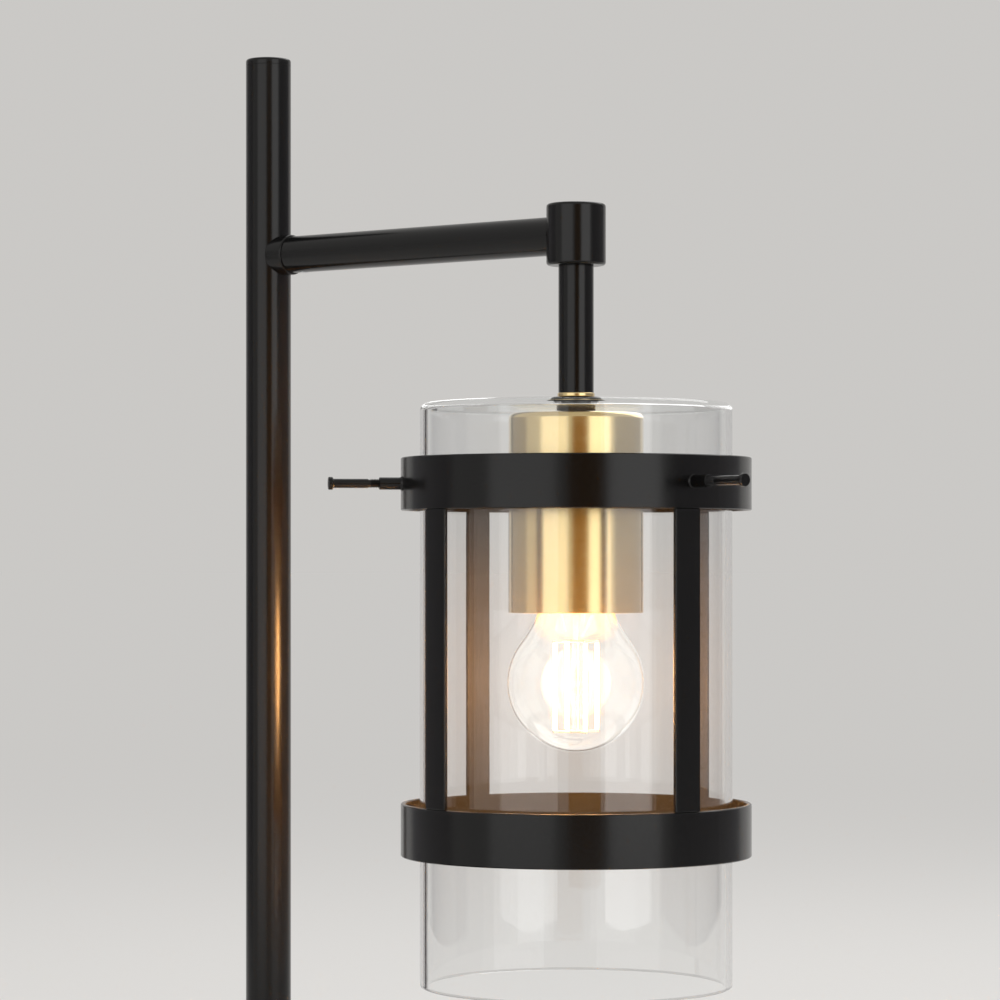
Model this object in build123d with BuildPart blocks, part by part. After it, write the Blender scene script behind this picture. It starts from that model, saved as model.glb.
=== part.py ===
from build123d import *
import os
from math import atan2, cos, degrees, radians, sin

# Table lamp. A weighted round base carries a pole with a fixed side arm. A glass cylinder with a
# closed top hangs from the arm on a threaded pipe, round a downward bulb in a brass cup. A black
# cage of two rings and four straps is clamped on the glass by three thumb screws.
# Millimetres, +Z up. The origin lies on the table under the middle of the base, and +X runs from
# the pole to the lantern.

# Whole lamp
lamp_height = 560.0
arm_drop = 92.0
arm_reach = 182.0
pole_inset = 43.0

# Fits that all pieces share
thread_clearance = 0.08
slip_clearance = 0.1
moving_gap = 0.3
overrun = 5.0

# Base
base_dia = 230.0
cover_wall = 1.5
cover_shoulder = 6.0
weight_thickness = 18.0
weight_rim = 12.0
pad_thickness = 2.0
pad_inset = 3.0
foot_collar_dia = 42.0
foot_collar_height = 9.0
foot_collar_slope = 4.0

# Cord inlet in the rear wall of the base
inlet_bore = 6.4
inlet_neck_dia = 8.4
inlet_lip_dia = 11.0
inlet_lip_thickness = 1.8
channel_room = 0.5

# Push switch on the base
switch_inset = 33.0
switch_angle = -100.0
switch_body_dia = 18.0
switch_body_depth = 14.0
switch_bezel_dia = 22.0
switch_bezel_height = 1.6
button_dia = 13.0
button_rise = 4.0
button_guide = 6.0
button_travel = 2.5
button_edge = 0.8

# Lamp pipe, nuts and washers
pipe_dia = 9.8
pipe_bore = 6.6
pipe_show = 1.0
nut_width = 14.0
nut_height = 5.0
washer_dia = 20.0
washer_thickness = 1.5
recess_room = 4.5

# Pole and arm
pole_dia = 21.0
pole_wall = 1.5
foot_plug_length = 18.0
cap_height = 3.0
cap_edge = 1.2
cap_spigot = 10.0
arm_dia = 17.0
arm_wall = 1.5
boss_rim = 0.8
boss_length = 5.0
spigot_length = 14.0
wire_hole_dia = 7.0
grub_dia = 4.0
grub_bite = 2.0
grub_key_width = 2.0
grub_key_depth = 1.5

# Hub and drop stem
hub_dia = 26.0
hub_height = 27.0
hub_edge = 1.4
hub_floor = 5.0
hub_bore = 18.0
hub_cap_dia = 21.0
hub_cap_thickness = 2.5
stem_dia = 15.4
stem_wall = 2.0
stem_length = 55.5

# Clamp of the glass
check_ring_dia = 16.4
check_ring_height = 2.0
check_ring_edge = 0.6
collar_dia = 17.0
collar_height = 2.5
bush_flange = 1.5

# Glass cylinder
glass_dia = 136.5
glass_height = 254.5
glass_wall = 3.0
glass_shoulder = 3.6
glass_hole_dia = 13.4
glass_rim_round = 1.2

# Brass cup and lamp holder
cup_dia = 59.0
cup_height = 87.0
cup_wall = 1.2
cup_edge = 2.5
holder_dia = 37.0
holder_neck_dia = 18.0
holder_neck = 10.0
holder_roof = 18.0
holder_depth = 30.0
holder_edge = 3.0
pipe_grip = 14.0
shell_wall = 0.6
shell_inset = 4.0
contact_dia = 9.0
contact_thickness = 1.7

# Bulb
bulb_dia = 60.0
bulb_length = 110.0
bulb_wall = 1.0
screw_cap_dia = 26.2
screw_cap_wall = 0.8
screw_cap_length = 20.0
tip_dia = 9.5
tip_height = 2.0
tip_edge = 0.8
insulator_height = 5.0
insulator_seat = 2.0
neck_insert = 8.0
mount_flare = 3.0
mount_top_dia = 12.0
mount_cone = 25.0
mount_rod_dia = 3.0
filament_count = 4
filament_dia = 1.8
filament_length = 38.0
filament_circle_dia = 20.0
filament_angle = 61.5
filament_rise = 9.5
crown_hub_dia = 6.0
crown_bar = 1.6
crown_thickness = 1.0

# Cage
cage_gap = 6.25
cage_wall = 2.0
cage_drop = 23.9
cage_height = 173.6
ring_height = 23.0
ring_edge = 0.4
strap_width = 13.5
strap_count = 4
strap_angle = -14.0

# Thumb screws
screw_count = 3
screw_angle = -12.0
screw_dia = 4.0
screw_handle = 22.2
screw_flange_dia = 5.6
screw_flange_length = 2.0
screw_flange_edge = 0.4
screw_boss_wall = 0.6
screw_boss_length = 10.0
pad_dia = 6.0
pad_length = 2.5
pad_edge = 0.4
pad_play = 0.1
tip_spigot_dia = 2.4
tip_spigot_length = 1.5

# Places along X
base_rear_x = -base_dia / 2
pole_x = base_rear_x + pole_inset
lantern_x = pole_x + arm_reach
boss_end_x = pole_x + pole_dia / 2 + boss_length
arm_end_x = lantern_x - hub_bore / 2

# Bores and outsides that follow from a neighbour
pole_inner_dia = pole_dia - 2 * pole_wall
arm_inner_dia = arm_dia - 2 * arm_wall
boss_dia = arm_dia + 2 * boss_rim
pipe_hole_dia = pipe_dia + 2 * slip_clearance
thread_hole_dia = pipe_dia + 2 * thread_clearance
channel_width = inlet_lip_dia + 2 * channel_room
weight_dia = base_dia - 2 * (cover_wall + moving_gap)
switch_radius = base_dia / 2 - switch_inset
switch_hole_dia = switch_body_dia + 2 * slip_clearance
button_well_dia = button_dia + 2 * moving_gap
shell_inner_dia = screw_cap_dia + 2 * moving_gap
shell_outer_dia = shell_inner_dia + 2 * shell_wall
screw_cap_inner_dia = screw_cap_dia - 2 * screw_cap_wall
neck_dia = screw_cap_inner_dia - 2 * slip_clearance
ring_inner_dia = glass_dia + 2 * cage_gap
ring_outer_dia = ring_inner_dia + 2 * cage_wall
screw_boss_bore = screw_dia + 2 * thread_clearance
screw_boss_dia = screw_boss_bore + 2 * screw_boss_wall

# Heights in the base
base_top = pad_thickness + weight_thickness + cover_wall
weight_top = pad_thickness + weight_thickness
inlet_height = pad_thickness + channel_width / 2
recess_depth = washer_thickness + nut_height + pipe_show + recess_room
recess_top = pad_thickness + recess_depth
base_nut_bottom = recess_top - washer_thickness - nut_height
bezel_top = base_top + switch_bezel_height
button_bottom = bezel_top - button_guide

# Heights of the lantern, from the arm down
arm_height = lamp_height - arm_drop
hub_bottom = arm_height - hub_height / 2
hub_top = hub_bottom + hub_height
hub_floor_top = hub_bottom + hub_floor
pipe_top = hub_floor_top + nut_height + pipe_show
stem_bottom = hub_bottom - stem_length
check_ring_bottom = stem_bottom - check_ring_height
glass_top = check_ring_bottom - collar_height
glass_underside = glass_top - glass_wall
glass_bottom = glass_top - glass_height
cup_top = glass_underside - bush_flange
cup_underside = cup_top - cup_wall
cup_bottom = cup_top - cup_height
pipe_nut_bottom = cup_underside - washer_thickness - nut_height
holder_top = pipe_nut_bottom
holder_shoulder = holder_top - holder_neck
holder_floor = holder_shoulder - holder_roof
holder_bottom = holder_floor - holder_depth
pipe_bottom = holder_top - pipe_grip
contact_bottom = holder_floor - contact_thickness

# Heights of the bulb
bulb_top = contact_bottom - moving_gap
bulb_bottom = bulb_top - bulb_length
insulator_top = bulb_top - tip_height
screw_cap_top = insulator_top - insulator_height
screw_cap_bottom = screw_cap_top - screw_cap_length
bulb_centre = bulb_bottom + bulb_dia / 2
filament_bottom = bulb_bottom + filament_rise
filament_top = filament_bottom + filament_length

# Heights of the cage
upper_ring_bottom = glass_top - cage_drop - ring_height
lower_ring_bottom = glass_top - cage_drop - cage_height
lower_ring_top = lower_ring_bottom + ring_height
screw_height = upper_ring_bottom + ring_height / 2

# Distances of the screw pieces from the lantern's axis
pad_inner = glass_dia / 2 + moving_gap
pad_outer = pad_inner + pad_length
screw_boss_end = ring_outer_dia / 2 + screw_boss_length
screw_end = screw_boss_end + screw_handle

lantern_axis = Axis((lantern_x, 0, 0), (0, 0, 1))
lantern_section = Plane(origin=(lantern_x, 0, 0), x_dir=(1, 0, 0), z_dir=(0, -1, 0))


def pole_at(height):
    """Level plane on the pole's axis."""
    return Plane(origin=(pole_x, 0, height))


def lantern_at(height):
    """Level plane on the lantern's axis."""
    return Plane(origin=(lantern_x, 0, height))


def arm_at(distance_x, height=arm_height):
    """Upright plane across the arm's axis, or across a line parallel to it."""
    return Plane(origin=(distance_x, 0, height), x_dir=(0, 1, 0), z_dir=(1, 0, 0))


def switch_at(height):
    """Level plane on the switch's axis."""
    place = radians(switch_angle)
    return Plane(origin=(switch_radius * cos(place), switch_radius * sin(place), height))


def screw_at(index, distance):
    """Plane across a thumb screw's axis, at a distance from the lantern's axis."""
    direction = Vector(1, 0, 0).rotate(Axis.Z, screw_angle + index * 360 / screw_count)
    return Plane(origin=Vector(lantern_x, 0, screw_height) + direction * distance, z_dir=direction)


def disc(plane, dia, length, mode=Mode.ADD):
    """Adds a round bar that stands on a plane, or cuts one away."""
    with BuildSketch(plane) as section:
        Circle(dia / 2)
    extrude(section.sketch, amount=length, mode=mode)


def ring(plane, outer_dia, bore_dia, length):
    """Adds a round bar with a bore, standing on a plane."""
    with BuildSketch(plane) as section:
        Circle(outer_dia / 2)
        Circle(bore_dia / 2, mode=Mode.SUBTRACT)
    extrude(section.sketch, amount=length)


def hex_nut(plane):
    """A nut for the lamp pipe, standing on a plane."""
    with BuildPart() as nut:
        with BuildSketch(plane):
            RegularPolygon(nut_width / 2, 6, major_radius=False)
            Circle(thread_hole_dia / 2, mode=Mode.SUBTRACT)
        extrude(amount=nut_height)
    return nut


def washer(plane):
    """A flat washer for the lamp pipe, standing on a plane."""
    with BuildPart() as flat_washer:
        ring(plane, washer_dia, pipe_hole_dia, washer_thickness)
    return flat_washer


def cage_ring(bottom):
    """A plain hoop of the cage with eased edges."""
    with BuildPart() as hoop:
        ring(lantern_at(bottom), ring_outer_dia, ring_inner_dia, ring_height)
        chamfer(hoop.edges().filter_by(GeomType.CIRCLE), ring_edge)
    return hoop


# Base: felt pad, iron weight with a dished underside, and spun cover
with BuildPart() as base_pad:
    with BuildSketch(Plane.XY):
        Circle(base_dia / 2 - pad_inset)
    extrude(amount=pad_thickness)

with BuildPart() as base_weight:
    with BuildSketch(Plane.XY.offset(pad_thickness)):
        Circle(weight_dia / 2)
    extrude(amount=weight_thickness)
    fillet(base_weight.edges().group_by(Axis.Z)[-1], cover_shoulder - cover_wall)
    disc(pole_at(pad_thickness), pipe_hole_dia, weight_thickness, Mode.SUBTRACT)
    disc(switch_at(pad_thickness), switch_hole_dia, weight_thickness, Mode.SUBTRACT)
    disc(Plane.XY.offset(pad_thickness), weight_dia - 2 * weight_rim, recess_depth, Mode.SUBTRACT)
    with BuildSketch(Plane.XY.offset(pad_thickness)):
        with Locations((base_rear_x + weight_rim, 0)):
            Rectangle(2 * weight_rim, channel_width)
    extrude(amount=channel_width, mode=Mode.SUBTRACT)

with BuildPart() as base_cover:
    with BuildSketch(Plane.XY.offset(pad_thickness)):
        Circle(base_dia / 2)
    extrude(amount=weight_thickness + cover_wall)
    fillet(base_cover.edges().group_by(Axis.Z)[-1], cover_shoulder)
    offset(amount=-cover_wall, openings=base_cover.faces().sort_by(Axis.Z)[0])
    disc(pole_at(weight_top), pipe_hole_dia, cover_wall, Mode.SUBTRACT)
    disc(switch_at(weight_top), switch_hole_dia, cover_wall, Mode.SUBTRACT)
    disc(
        arm_at(base_rear_x - overrun, inlet_height),
        inlet_neck_dia + 2 * slip_clearance,
        overrun + 2 * cover_wall,
        Mode.SUBTRACT,
    )

# Bush of the cord inlet, with a lip on each side of the cover's wall
inlet_neck_length = cover_wall + moving_gap
with BuildPart() as cord_inlet:
    disc(arm_at(base_rear_x - inlet_lip_thickness, inlet_height), inlet_lip_dia, inlet_lip_thickness)
    disc(arm_at(base_rear_x, inlet_height), inlet_neck_dia, inlet_neck_length)
    disc(
        arm_at(base_rear_x + inlet_neck_length, inlet_height),
        inlet_lip_dia,
        inlet_lip_thickness,
    )
    disc(
        arm_at(base_rear_x - inlet_lip_thickness, inlet_height),
        inlet_bore,
        inlet_neck_length + 2 * inlet_lip_thickness,
        Mode.SUBTRACT,
    )

# Pipe that pulls the pole down on the base
base_washer = washer(pole_at(recess_top - washer_thickness))
base_nut = hex_nut(pole_at(base_nut_bottom))
with BuildPart() as base_nipple:
    ring(
        pole_at(base_nut_bottom - pipe_show),
        pipe_dia,
        pipe_bore,
        base_top + foot_plug_length - base_nut_bottom + pipe_show,
    )

with BuildPart() as foot_collar:
    ring(pole_at(base_top), foot_collar_dia, pole_dia + 2 * slip_clearance, foot_collar_height)
    outer_top_edge = foot_collar.edges().group_by(Axis.Z)[-1].sort_by(SortBy.RADIUS)[-1]
    chamfer(outer_top_edge, foot_collar_slope)

# Push switch
with BuildPart() as switch_body:
    disc(switch_at(base_top - switch_body_depth), switch_body_dia, switch_body_depth)
    disc(switch_at(base_top), switch_bezel_dia, switch_bezel_height)
    chamfer(switch_body.edges().group_by(Axis.Z)[-1], switch_bezel_height / 2)
    disc(
        switch_at(button_bottom - button_travel - moving_gap),
        button_well_dia,
        button_guide + button_travel + moving_gap,
        Mode.SUBTRACT,
    )

with BuildPart() as switch_button:
    disc(switch_at(button_bottom), button_dia, button_guide + button_rise)
    fillet(switch_button.edges().group_by(Axis.Z)[-1], button_edge)

# Pole with its plugs
with BuildPart() as foot_plug:
    ring(pole_at(base_top), pole_inner_dia - 2 * slip_clearance, thread_hole_dia, foot_plug_length)

with BuildPart() as pole:
    ring(pole_at(base_top), pole_dia, pole_inner_dia, lamp_height - cap_height - base_top)
    disc(arm_at(pole_x), wire_hole_dia, pole_dia, Mode.SUBTRACT)

with BuildPart() as pole_cap:
    disc(pole_at(lamp_height - cap_height), pole_dia, cap_height)
    fillet(pole_cap.edges().group_by(Axis.Z)[-1], cap_edge)
    disc(
        pole_at(lamp_height - cap_height - cap_spigot),
        pole_inner_dia - 2 * slip_clearance,
        cap_spigot,
    )

# Arm on its saddle boss, held by a grub screw from below
grub_x = boss_end_x + spigot_length / 2
grub_bottom = arm_height - arm_dia / 2
grub_length = arm_wall + slip_clearance + grub_bite
grub_hole_dia = grub_dia + 2 * thread_clearance
grub_seat = Plane(origin=(grub_x, 0, grub_bottom))

with BuildPart() as arm_boss:
    disc(arm_at(pole_x), boss_dia, boss_end_x - pole_x)
    disc(pole_at(arm_height - boss_dia), pole_dia, 2 * boss_dia, Mode.SUBTRACT)
    disc(arm_at(boss_end_x), arm_inner_dia - 2 * slip_clearance, spigot_length)
    disc(arm_at(pole_x), wire_hole_dia, boss_end_x + spigot_length - pole_x, Mode.SUBTRACT)
    disc(grub_seat, grub_hole_dia, grub_length, Mode.SUBTRACT)

with BuildPart() as arm:
    ring(arm_at(boss_end_x), arm_dia, arm_inner_dia, arm_end_x - boss_end_x)
    disc(grub_seat, grub_hole_dia, grub_length, Mode.SUBTRACT)

with BuildPart() as arm_grub_screw:
    disc(grub_seat, grub_dia, grub_length)
    with BuildSketch(grub_seat):
        RegularPolygon(grub_key_width / 2, 6, major_radius=False)
    extrude(amount=grub_key_depth, mode=Mode.SUBTRACT)

# Hub with its cap, and the pipe that carries the lantern
with BuildPart() as hub:
    disc(lantern_at(hub_bottom), hub_dia, hub_height)
    fillet(hub.edges().filter_by(GeomType.CIRCLE), hub_edge)
    disc(lantern_at(hub_bottom), pipe_hole_dia, hub_floor, Mode.SUBTRACT)
    disc(lantern_at(hub_floor_top), hub_bore, hub_height - hub_floor, Mode.SUBTRACT)
    disc(lantern_at(hub_top - hub_cap_thickness), hub_cap_dia, hub_cap_thickness, Mode.SUBTRACT)
    disc(
        arm_at(lantern_x - hub_dia / 2),
        arm_dia + 2 * slip_clearance,
        hub_dia / 2,
        Mode.SUBTRACT,
    )

with BuildPart() as hub_cap:
    disc(
        lantern_at(hub_top - hub_cap_thickness),
        hub_cap_dia - 2 * slip_clearance,
        hub_cap_thickness,
    )

hub_nut = hex_nut(lantern_at(hub_floor_top))
with BuildPart() as lamp_pipe:
    ring(lantern_at(pipe_bottom), pipe_dia, pipe_bore, pipe_top - pipe_bottom)

with BuildPart() as drop_stem:
    ring(lantern_at(stem_bottom), stem_dia, stem_dia - 2 * stem_wall, stem_length)

# Pieces that clamp the glass on the pipe
with BuildPart() as check_ring:
    ring(lantern_at(check_ring_bottom), check_ring_dia, pipe_hole_dia, check_ring_height)
    fillet(
        check_ring.edges().filter_by(GeomType.CIRCLE).group_by(SortBy.RADIUS)[-1],
        check_ring_edge,
    )

with BuildPart() as clamp_collar:
    ring(lantern_at(glass_top), collar_dia, pipe_hole_dia, collar_height)

with BuildPart() as glass_bush:
    ring(lantern_at(cup_top), collar_dia, pipe_hole_dia, bush_flange)
    ring(
        lantern_at(glass_underside),
        glass_hole_dia - 2 * slip_clearance,
        pipe_hole_dia,
        glass_wall,
    )

with BuildPart() as glass_shade:
    disc(lantern_at(glass_bottom), glass_dia, glass_height)
    fillet(glass_shade.edges().group_by(Axis.Z)[-1], glass_shoulder)
    offset(amount=-glass_wall, openings=glass_shade.faces().sort_by(Axis.Z)[0])
    fillet(glass_shade.edges().group_by(Axis.Z)[0], glass_rim_round)
    disc(lantern_at(glass_underside), glass_hole_dia, glass_wall, Mode.SUBTRACT)

# Brass cup and the lamp holder inside it
with BuildPart() as socket_cup:
    disc(lantern_at(cup_bottom), cup_dia, cup_height)
    fillet(socket_cup.edges().group_by(Axis.Z)[-1], cup_edge)
    offset(amount=-cup_wall, openings=socket_cup.faces().sort_by(Axis.Z)[0])
    disc(lantern_at(cup_underside), pipe_hole_dia, cup_wall, Mode.SUBTRACT)

pipe_washer = washer(lantern_at(cup_underside - washer_thickness))
pipe_nut = hex_nut(lantern_at(pipe_nut_bottom))

with BuildPart() as holder_body:
    disc(lantern_at(holder_bottom), holder_dia, holder_roof + holder_depth)
    fillet(holder_body.edges().group_by(Axis.Z)[-1], holder_edge)
    disc(lantern_at(holder_shoulder), holder_neck_dia, holder_neck)
    disc(lantern_at(pipe_bottom), thread_hole_dia, pipe_grip, Mode.SUBTRACT)
    disc(
        lantern_at(holder_bottom),
        shell_outer_dia + 2 * slip_clearance,
        holder_depth,
        Mode.SUBTRACT,
    )

with BuildPart() as holder_shell:
    ring(
        lantern_at(holder_bottom + shell_inset),
        shell_outer_dia,
        shell_inner_dia,
        holder_depth - shell_inset,
    )

with BuildPart() as holder_contact:
    disc(lantern_at(contact_bottom), contact_dia, contact_thickness)
    fillet(holder_contact.edges().group_by(Axis.Z)[0], contact_thickness / 2)

# Bulb: the outline is a ball that runs into the neck by a tangent hollow arc
neck_radius = neck_dia / 2
ball_radius = bulb_dia / 2
neck_rise = screw_cap_bottom - bulb_centre
hollow_radius = (neck_rise**2 + neck_radius**2 - ball_radius**2) / (2 * (ball_radius - neck_radius))
tangent_angle = degrees(atan2(neck_rise, neck_radius + hollow_radius))

with BuildPart() as bulb_envelope:
    with BuildSketch(lantern_section):
        for wall_inset, closing in ((0, Mode.ADD), (bulb_wall, Mode.SUBTRACT)):
            with BuildLine():
                ball = CenterArc((0, bulb_centre), ball_radius - wall_inset, -90, 90 + tangent_angle)
                hollow = CenterArc(
                    (neck_radius + hollow_radius, screw_cap_bottom),
                    hollow_radius + wall_inset,
                    180 + tangent_angle,
                    -tangent_angle,
                )
                neck_top = screw_cap_bottom + neck_insert
                Polyline(hollow @ 1, (neck_radius - wall_inset, neck_top), (0, neck_top), ball @ 0)
            make_face(mode=closing)
    revolve(axis=lantern_axis)

with BuildPart() as bulb_screw_cap:
    ring(lantern_at(screw_cap_bottom), screw_cap_dia, screw_cap_inner_dia, screw_cap_length)

with BuildPart() as bulb_insulator:
    disc(lantern_at(screw_cap_top - insulator_seat), neck_dia, insulator_seat)
    with BuildSketch(lantern_at(screw_cap_top)):
        Circle(neck_radius)
    with BuildSketch(lantern_at(insulator_top)):
        Circle(tip_dia / 2)
    loft()

with BuildPart() as bulb_tip:
    disc(lantern_at(insulator_top), tip_dia, tip_height)
    fillet(bulb_tip.edges().group_by(Axis.Z)[-1], tip_edge)

with BuildPart() as bulb_mount:
    disc(
        lantern_at(screw_cap_bottom),
        neck_dia - 2 * (bulb_wall + slip_clearance),
        mount_flare,
    )
    with BuildSketch(lantern_at(screw_cap_bottom - mount_cone)):
        Circle(mount_rod_dia / 2)
    with BuildSketch(lantern_at(screw_cap_bottom)):
        Circle(mount_top_dia / 2)
    loft()
    disc(
        lantern_at(filament_bottom - crown_thickness),
        mount_rod_dia,
        screw_cap_bottom - mount_cone - filament_bottom + crown_thickness,
    )

with BuildPart() as filament_crowns:
    for crown_bottom in (filament_bottom - crown_thickness, filament_top):
        with BuildSketch(lantern_at(crown_bottom)):
            Circle(crown_hub_dia / 2)
            with PolarLocations(filament_circle_dia / 4, filament_count, filament_angle):
                Rectangle(filament_circle_dia / 2 + filament_dia, crown_bar)
            Circle(mount_rod_dia / 2 + slip_clearance, mode=Mode.SUBTRACT)
        extrude(amount=crown_thickness)

with BuildPart() as led_filaments:
    with BuildSketch(lantern_at(filament_bottom)):
        with PolarLocations(filament_circle_dia / 2, filament_count, filament_angle):
            Circle(filament_dia / 2)
    extrude(amount=filament_length)

# Cage: two hoops and the straps between them
upper_ring = cage_ring(upper_ring_bottom)
lower_ring = cage_ring(lower_ring_bottom)
with upper_ring:
    for number in range(screw_count):
        disc(screw_at(number, 0), screw_dia + 2 * moving_gap, ring_outer_dia, Mode.SUBTRACT)

straps = []
for number in range(strap_count):
    with BuildPart() as strap:
        with BuildSketch(lantern_at(lower_ring_top)):
            Circle(ring_outer_dia / 2)
            Circle(ring_inner_dia / 2, mode=Mode.SUBTRACT)
            with PolarLocations(ring_outer_dia / 4, 1, strap_angle + number * 360 / strap_count):
                Rectangle(ring_outer_dia / 2, strap_width, mode=Mode.INTERSECT)
        extrude(amount=upper_ring_bottom - lower_ring_top)
    straps.append(strap)

# Thumb screws: a boss on the ring, the screw and its swivel pad
screw_bosses = []
thumb_screws = []
screw_pads = []
for number in range(screw_count):
    with BuildPart() as screw_boss:
        disc(screw_at(number, 0), screw_boss_dia, screw_boss_end)
        disc(lantern_at(upper_ring_bottom), ring_outer_dia, ring_height, Mode.SUBTRACT)
        disc(screw_at(number, 0), screw_boss_bore, screw_boss_end, Mode.SUBTRACT)
    screw_bosses.append(screw_boss)

    with BuildPart() as thumb_screw:
        disc(screw_at(number, screw_end - screw_flange_length), screw_flange_dia, screw_flange_length)
        fillet(thumb_screw.edges().filter_by(GeomType.CIRCLE), screw_flange_edge)
        rod_start = pad_outer + pad_play
        disc(screw_at(number, rod_start), screw_dia, screw_end - screw_flange_length - rod_start)
        disc(
            screw_at(number, pad_outer - tip_spigot_length),
            tip_spigot_dia,
            tip_spigot_length + pad_play,
        )
    thumb_screws.append(thumb_screw)

    with BuildPart() as screw_pad:
        disc(screw_at(number, pad_inner), pad_dia, pad_length)
        chamfer(screw_pad.edges().filter_by(GeomType.CIRCLE), pad_edge)
        disc(
            screw_at(number, pad_outer - tip_spigot_length - pad_play),
            tip_spigot_dia + 2 * thread_clearance,
            tip_spigot_length + pad_play,
            Mode.SUBTRACT,
        )
    screw_pads.append(screw_pad)

# Every piece under the name of its node
pieces = {
    "base_pad": base_pad,
    "base_weight": base_weight,
    "base_cover": base_cover,
    "cord_inlet": cord_inlet,
    "base_washer": base_washer,
    "base_nut": base_nut,
    "base_nipple": base_nipple,
    "foot_collar": foot_collar,
    "switch_body": switch_body,
    "switch_button": switch_button,
    "foot_plug": foot_plug,
    "pole": pole,
    "pole_cap": pole_cap,
    "arm_boss": arm_boss,
    "arm": arm,
    "arm_grub_screw": arm_grub_screw,
    "hub": hub,
    "hub_cap": hub_cap,
    "hub_nut": hub_nut,
    "lamp_pipe": lamp_pipe,
    "drop_stem": drop_stem,
    "check_ring": check_ring,
    "clamp_collar": clamp_collar,
    "glass_bush": glass_bush,
    "glass_shade": glass_shade,
    "socket_cup": socket_cup,
    "pipe_washer": pipe_washer,
    "pipe_nut": pipe_nut,
    "holder_body": holder_body,
    "holder_shell": holder_shell,
    "holder_contact": holder_contact,
    "bulb_envelope": bulb_envelope,
    "bulb_screw_cap": bulb_screw_cap,
    "bulb_insulator": bulb_insulator,
    "bulb_tip": bulb_tip,
    "bulb_mount": bulb_mount,
    "filament_crowns": filament_crowns,
    "led_filaments": led_filaments,
    "upper_ring": upper_ring,
    "lower_ring": lower_ring,
}
for number, strap in enumerate(straps, 1):
    pieces[f"strap_{number}"] = strap
for number in range(screw_count):
    pieces[f"screw_boss_{number + 1}"] = screw_bosses[number]
    pieces[f"thumb_screw_{number + 1}"] = thumb_screws[number]
    pieces[f"screw_pad_{number + 1}"] = screw_pads[number]

os.makedirs("parts", exist_ok=True)
for name, piece in pieces.items():
    piece.part.label = name
    export_step(piece.part, f"parts/{name}.step")
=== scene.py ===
"""Looks of the table lamp: finishes, fine meshes, studio and camera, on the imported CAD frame."""

import logging
from collections.abc import Callable, Iterator, Sequence
from dataclasses import dataclass
from enum import Enum
from math import atan2, cos, inf, pi, radians, sin, tau

import bmesh
import bpy
from mathutils import Matrix, Vector


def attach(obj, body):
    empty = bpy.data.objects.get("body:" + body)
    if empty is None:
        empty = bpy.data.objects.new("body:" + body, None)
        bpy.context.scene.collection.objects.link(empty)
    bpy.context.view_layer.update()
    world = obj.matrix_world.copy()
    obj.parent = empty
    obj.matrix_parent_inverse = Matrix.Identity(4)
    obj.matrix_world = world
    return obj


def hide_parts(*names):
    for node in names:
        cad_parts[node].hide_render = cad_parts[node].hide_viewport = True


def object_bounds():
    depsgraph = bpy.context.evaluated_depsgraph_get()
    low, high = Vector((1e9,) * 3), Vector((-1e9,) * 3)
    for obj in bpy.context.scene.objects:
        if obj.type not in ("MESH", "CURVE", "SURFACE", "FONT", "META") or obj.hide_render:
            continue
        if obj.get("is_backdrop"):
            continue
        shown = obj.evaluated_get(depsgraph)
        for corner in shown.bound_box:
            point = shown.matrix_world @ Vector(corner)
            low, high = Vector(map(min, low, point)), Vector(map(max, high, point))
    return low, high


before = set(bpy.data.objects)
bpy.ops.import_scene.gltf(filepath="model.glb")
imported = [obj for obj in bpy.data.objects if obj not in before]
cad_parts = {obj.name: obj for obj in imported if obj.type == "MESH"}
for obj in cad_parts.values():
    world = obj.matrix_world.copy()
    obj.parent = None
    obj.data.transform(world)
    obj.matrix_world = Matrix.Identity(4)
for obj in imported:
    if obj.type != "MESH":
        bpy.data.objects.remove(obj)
cad_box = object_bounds()

LOG = logging.getLogger("table_lamp")
MM = 0.001
# Faces that meet at more than this make a sharp edge.
SHARP = radians(35)
# Corners closer than this are merged, in millimetres.
MERGED = 0.002
# A corner this close to a size counts as on it, in millimetres.
NEAR = 0.1

Piece = bpy.types.Object
Tree = bpy.types.NodeTree
Socket = bpy.types.NodeSocket
Outline = Sequence[tuple[float, float]]
Test = Callable[[Vector], bool]


class Slot(Enum):
    """Material slots of the record."""

    FELT = "felt"
    IRON = "cast_iron"
    COAT = "black_coat"
    RUBBER = "rubber"
    STEEL = "steel"
    BRASS = "brass"
    SHADE = "clear_glass"
    BULB = "bulb_glass"
    PORCELAIN = "porcelain"
    CAP = "bulb_cap"
    INSULATOR = "bulb_insulator"
    FILAMENT = "filament"
    PLASTIC = "switch_plastic"


class Body(Enum):
    """Bodies of the frame, apart from the numbered ones of screws and pads."""

    STAND = "stand"
    CAGE = "cage"
    BULB = "bulb"
    BUTTON = "button"


# Materials


def linear(colour: str) -> tuple[float, float, float, float]:
    """Turns an sRGB hex colour to linear light.

    Args:
        colour: "#rrggbb".

    Returns:
        Red, green, blue and an alpha of 1.
    """
    parts = [int(colour[place : place + 2], 16) / 255 for place in (1, 3, 5)]
    light = [part / 12.92 if part <= 0.04045 else ((part + 0.055) / 1.055) ** 2.4 for part in parts]
    return (*light, 1.0)


def add_node(tree: Tree, kind: str, inputs: dict | None = None, **settings: object) -> bpy.types.Node:
    """Adds one node with its settings and links.

    Args:
        tree: the node tree.
        kind: the node's class name after ShaderNode.
        inputs: values for its sockets, or the sockets that feed them.
        **settings: the node's own properties.

    Returns:
        The new node.
    """
    made = tree.nodes.new(f"ShaderNode{kind}")
    for name, value in settings.items():
        setattr(made, name, value)
    for name, value in (inputs or {}).items():
        if isinstance(value, Socket):
            tree.links.new(value, made.inputs[name])
        else:
            made.inputs[name].default_value = value
    return made


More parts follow.
